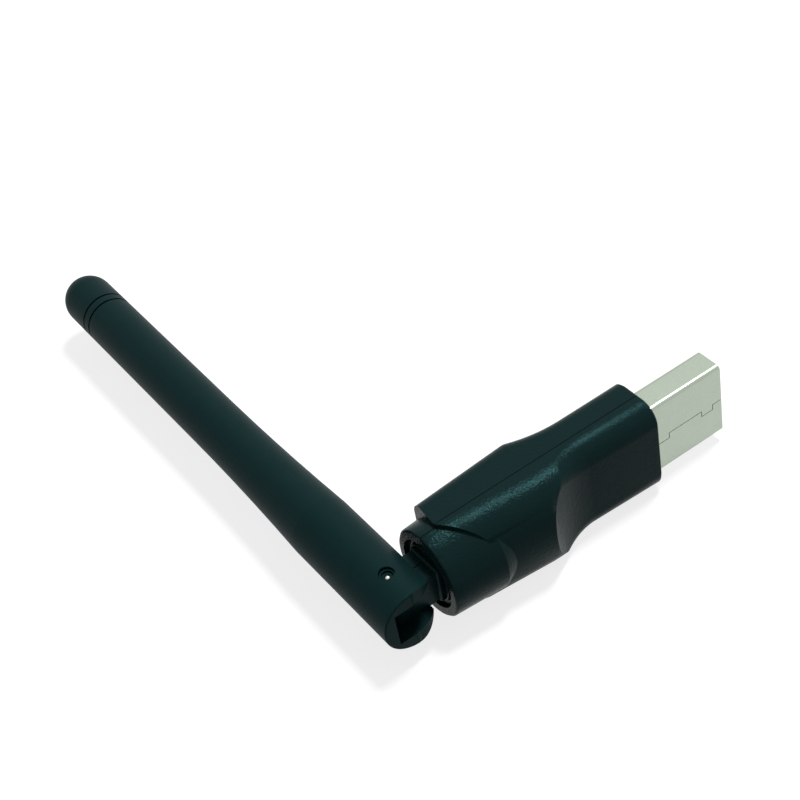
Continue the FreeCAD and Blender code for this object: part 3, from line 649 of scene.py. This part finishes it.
@dataclass
class Washer:
    """A turned ring with rounded edges.

    Attributes:
        name: the piece's name.
        axis: the way in which it faces.
        start: the middle of its first face.
        sizes: its sizes.
        sides: how many facets it has around.
    """

    name: str
    axis: Axis
    start: Vector
    sizes: RingSizes
    sides: int = 96

    def build(self) -> bpy.types.Object:
        """Turns the ring.

        Returns:
            The ring, with its place in its mesh.
        """
        sizes = self.sizes
        middle = self.start + self.axis.way * (sizes.length / 2.0)
        deselect()
        bpy.ops.mesh.primitive_cylinder_add(
            vertices=self.sides, radius=sizes.outer, depth=sizes.length, end_fill_type="NGON",
            location=middle, rotation=self.axis.value,
        )
        ring = bpy.context.object
        ring.name = self.name
        settle()
        select_faces(ring, lambda face: abs(face.normal.dot(self.axis.way)) > FACING)
        bpy.ops.mesh.inset(thickness=sizes.outer - sizes.inner, depth=0.0)
        bpy.ops.mesh.delete(type="FACE")
        select_open_edges()
        bpy.ops.mesh.bridge_edge_loops()
        bpy.ops.object.mode_set(mode="OBJECT")
        round_edges(ring, sizes.rounding)
        return ring


@dataclass
class MouthTrim:
    """What fills the gap between the swivel's neck and the barrel's mouth.

    Attributes:
        plastic: the material of both rings.
        collar_depth: how deep in the mouth the dark collar begins.
        collar_sizes: the sizes of the collar.
        bead_depth: how deep in the mouth the bead on the neck's face begins.
        bead_sizes: the sizes of the bead.
    """

    plastic: bpy.types.Material
    collar_depth: float = 0.6 * MM
    collar_sizes: RingSizes = RingSizes(
        length=0.81 * MM, inner=4.3 * MM, outer=5.06 * MM, rounding=0.18 * MM
    )
    bead_depth: float = 0.26 * MM
    bead_sizes: RingSizes = RingSizes(
        length=0.15 * MM, inner=3.86 * MM, outer=4.16 * MM, rounding=0.06 * MM
    )

    def collar(self) -> None:
        """Seats the dark collar in the barrel's mouth."""
        start = Vector((MOUTH_X + self.collar_depth, 0.0, 0.0))
        ring = Washer("mouth_collar", Axis.ALONG_X, start, self.collar_sizes).build()
        dress(ring, self.plastic)
        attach(ring, "dongle")
        report(ring, "in the barrel's mouth")

    def bead(self) -> None:
        """Raises the moulded bead on the face of the swivel's neck."""
        start = Vector((MOUTH_X + self.bead_depth, 0.0, 0.0))
        ring = Washer("neck_bead", Axis.ALONG_X, start, self.bead_sizes).build()
        dress(ring, self.plastic)
        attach(ring, "swivel")
        report(ring, "on the swivel's neck")

    def build(self) -> None:
        """Makes both rings."""
        self.collar()
        self.bead()


# Hinge

@dataclass
class TongueFoot:
    """The moulded foot by which the tongue grows out of the swivel's neck.

    Attributes:
        plastic: its material.
        depth: how deep in the mouth it leaves the neck.
        reach: how far it stands out of the mouth.
        half_width: half its size along the folded antenna.
        half_height: half its size across that.
        chamfer: the width of the slope around its front.
        rounding: the radius of its edges.
    """

    plastic: bpy.types.Material
    depth: float = 0.42 * MM
    reach: float = 0.4 * MM
    half_width: float = 2.95 * MM
    half_height: float = 2.8 * MM
    chamfer: float = 0.26 * MM
    rounding: float = 0.09 * MM

    def chamfer_front(self, foot: bpy.types.Object) -> None:
        """Slopes the front of the block in on all four sides.

        Args:
            foot: the block, active and in object mode.
        """
        select_faces(foot, lambda face: face.normal.x < -FACING)
        bpy.ops.transform.translate(value=(self.chamfer, 0.0, 0.0))
        bpy.ops.mesh.extrude_region_move(TRANSFORM_OT_translate={"value": (-self.chamfer, 0.0, 0.0)})
        narrower = 1.0 - self.chamfer / self.half_width
        lower = 1.0 - self.chamfer / self.half_height
        bpy.ops.transform.resize(value=(1.0, narrower, lower))
        bpy.ops.object.mode_set(mode="OBJECT")

    def build(self) -> None:
        """Shapes the foot from a block."""
        deselect()
        middle = Vector((MOUTH_X + (self.depth - self.reach) / 2.0, 0.0, 0.0))
        bpy.ops.mesh.primitive_cube_add(size=1.0, location=middle)
        foot = bpy.context.object
        foot.name = "tongue_foot"
        foot.scale = (self.depth + self.reach, 2.0 * self.half_width, 2.0 * self.half_height)
        settle()
        self.chamfer_front(foot)
        round_edges(foot, self.rounding)
        dress(foot, self.plastic)
        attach(foot, "swivel")
        report(foot, "at the tongue's root")


@dataclass
class PinEnd:
    """The end of the hinge pin as it shows in its recess: a step, a dark bush and a domed head.

    Attributes:
        plastic: the material of the step and the bush.
        steel: the material of the head.
        step_rise: how far above the pin's end the step begins.
        step_sizes: the sizes of the step around the recess's floor.
        bush_sizes: the sizes of the bush around the head.
        dome_radius: the radius of the head's rim.
        dome_height: how far the head stands out.
        dome_segments: how many facets the head has around.
        dome_rings: how many facets a whole ball has from pole to pole.
    """

    plastic: bpy.types.Material
    steel: bpy.types.Material
    step_rise: float = 0.09 * MM
    step_sizes: RingSizes = RingSizes(
        length=0.34 * MM, inner=0.8 * MM, outer=1.08 * MM, rounding=0.1 * MM
    )
    bush_sizes: RingSizes = RingSizes(
        length=0.13 * MM, inner=0.4 * MM, outer=0.65 * MM, rounding=0.04 * MM
    )
    dome_radius: float = 0.43 * MM
    dome_height: float = 0.2 * MM
    dome_segments: int = 48
    dome_rings: int = 46

    def on_axis(self, rise: float = 0.0) -> Vector:
        """The point of the pin's axis that lies a given height above the pin's end."""
        return Vector((HINGE_X, 0.0, PIN_END_Z + rise))

    def step(self) -> None:
        """Lays the step around the recess's floor."""
        ring = Washer("recess_step", Axis.ALONG_Z, self.on_axis(self.step_rise), self.step_sizes).build()
        dress(ring, self.plastic)
        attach(ring, "antenna")
        report(ring, "in the pin's recess")

    def bush(self) -> None:
        """Lays the dark bush around the pin's head."""
        ring = Washer("pin_bush", Axis.ALONG_Z, self.on_axis(), self.bush_sizes).build()
        dress(ring, self.plastic)
        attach(ring, "antenna")
        report(ring, "around the pin's head")

    def cut_ball(self, head: bpy.types.Object) -> None:
        """Cuts the ball off at the pin's end and closes the cut.

        Args:
            head: the ball, active and in object mode.
        """
        select_faces(head, lambda face: True)
        bpy.ops.mesh.bisect(plane_co=self.on_axis(), plane_no=(0.0, 0.0, 1.0), clear_inner=True)
        select_open_edges()
        bpy.ops.mesh.edge_face_add()
        bpy.ops.object.mode_set(mode="OBJECT")
        bpy.ops.object.shade_smooth_by_angle(angle=SMOOTH_EDGE)

    def dome(self) -> None:
        """Cuts the pin's domed head from a ball."""
        deselect()
        ball = (self.dome_radius ** 2 + self.dome_height ** 2) / (2.0 * self.dome_height)
        centre = self.on_axis(self.dome_height - ball)
        bpy.ops.mesh.primitive_uv_sphere_add(
            segments=self.dome_segments, ring_count=self.dome_rings, radius=ball, location=centre
        )
        head = bpy.context.object
        head.name = "pin_head"
        settle()
        self.cut_ball(head)
        dress(head, self.steel)
        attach(head, "antenna")
        report(head, "on the pin's end")

    def build(self) -> None:
        """Makes the step, the bush and the head."""
        self.step()
        self.bush()
        self.dome()


# Studio

@dataclass
class Studio:
    """A pale floor, a soft surround, one large lamp and the camera.

    Attributes:
        camera_place: where the camera stands.
        camera_turn: how the camera is turned, in degrees.
        lens: its focal length, in millimetres.
        shift: how far the picture is shifted sideways and up.
        clip: how near and how far the camera sees.
        floor_size: the side of the floor.
        floor_grey: how pale the floor is where light falls on it.
        floor_roughness: how matt the floor is.
        floor_glow: how bright the floor is to a ray that looks at it.
        room_light: how strongly the room lights the part.
        room_white: how bright the room is to a ray that looks at it.
        lamp_offset: where the lamp hangs from the middle of the part.
        lamp_size: the side of the lamp.
        lamp_power: its power, in watts.
    """

    camera_place: Vector
    camera_turn: Vector
    lens: float = 81.0
    shift: tuple[float, float] = (-0.0037, 0.0309)
    clip: tuple[float, float] = (0.01, 10.0)
    floor_size: float = 3.0
    floor_grey: float = 0.3
    floor_roughness: float = 0.9
    floor_glow: float = 0.78
    room_light: float = 0.25
    room_white: float = 1.0
    lamp_offset: tuple[float, float, float] = (0.22, 0.02, 0.62)
    lamp_size: float = 0.14
    lamp_power: float = 4.3

    def floor(self) -> None:
        """Lays the floor under the part."""
        deselect()
        lowest = CAD_BOX[0].z
        bpy.ops.mesh.primitive_plane_add(size=self.floor_size, location=(0.0, 0.0, lowest))
        plane = bpy.context.object
        plane.name = "floor"
        recipe = Recipe("floor_white")
        inputs = recipe.shader.inputs
        inputs["Base Color"].default_value = (self.floor_grey, self.floor_grey, self.floor_grey, 1.0)
        inputs["Roughness"].default_value = self.floor_roughness
        inputs["Emission Color"].default_value = (1.0, 1.0, 1.0, 1.0)
        recipe.join(recipe.spread(recipe.looked_at(), 0.0, self.floor_glow), inputs["Emission Strength"])
        dress(plane, recipe.material)

    def room(self) -> None:
        """Sets the soft light of the room, which shows white to the camera."""
        world = bpy.data.worlds.new("room")
        bpy.context.scene.world = world
        world.use_nodes = True
        nodes = Nodes(world.node_tree)
        background = nodes.tree.nodes["Background"]
        background.inputs["Color"].default_value = (1.0, 1.0, 1.0, 1.0)
        strength = nodes.spread(nodes.looked_at(), self.room_light, self.room_white)
        nodes.join(strength, background.inputs["Strength"])

    def lamp(self) -> None:
        """Hangs the large square lamp above the part, facing it."""
        middle = (CAD_BOX[0] + CAD_BOX[1]) / 2.0
        data = bpy.data.lights.new("key_lamp", "AREA")
        data.size = self.lamp_size
        data.energy = self.lamp_power
        lamp = bpy.data.objects.new("key_lamp", data)
        lamp.location = middle + Vector(self.lamp_offset)
        lamp.rotation_euler = (middle - lamp.location).to_track_quat("-Z", "Y").to_euler()
        bpy.context.scene.collection.objects.link(lamp)

    def camera(self) -> None:
        """Stands the camera where the photograph was taken from."""
        data = bpy.data.cameras.new("camera")
        data.lens = self.lens
        data.shift_x, data.shift_y = self.shift
        data.clip_start, data.clip_end = self.clip
        camera = bpy.data.objects.new("camera", data)
        camera.location = self.camera_place
        camera.rotation_euler = Euler([math.radians(turn) for turn in self.camera_turn])
        bpy.context.scene.collection.objects.link(camera)
        bpy.context.scene.camera = camera

    def build(self) -> None:
        """Sets up floor, light and camera."""
        bpy.context.scene.view_settings.view_transform = "Standard"
        self.floor()
        self.room()
        self.lamp()
        self.camera()
        log.info("studio ready")


def main() -> None:
    """Builds every class in order."""
    logging.basicConfig(level=logging.INFO, format="%(name)s: %(message)s")
    made = FrameDress(CAD_FINISHES).build()
    SoftForm("housing_front", "dongle", "housing_plastic", made[HOUSING.name], crease_radius=0.7 * MM).build()
    SoftForm("housing_rear", "dongle", "housing_plastic", made[HOUSING.name]).build()
    SoftForm("antenna_knuckle", "antenna", "sleeve_plastic", made[SLEEVE.name]).build()
    MouthTrim(plastic=made[SWIVEL.name]).build()
    TongueFoot(plastic=made[SWIVEL.name]).build()
    PinEnd(plastic=made[SLEEVE.name], steel=made[STEEL.name]).build()
    Studio(
        camera_place=Vector((-106.189, -139.147, 171.135)) * MM,
        camera_turn=Vector((46.46, 8.873, -35.43)),
    ).build()


if __name__ == "__main__":
    main()
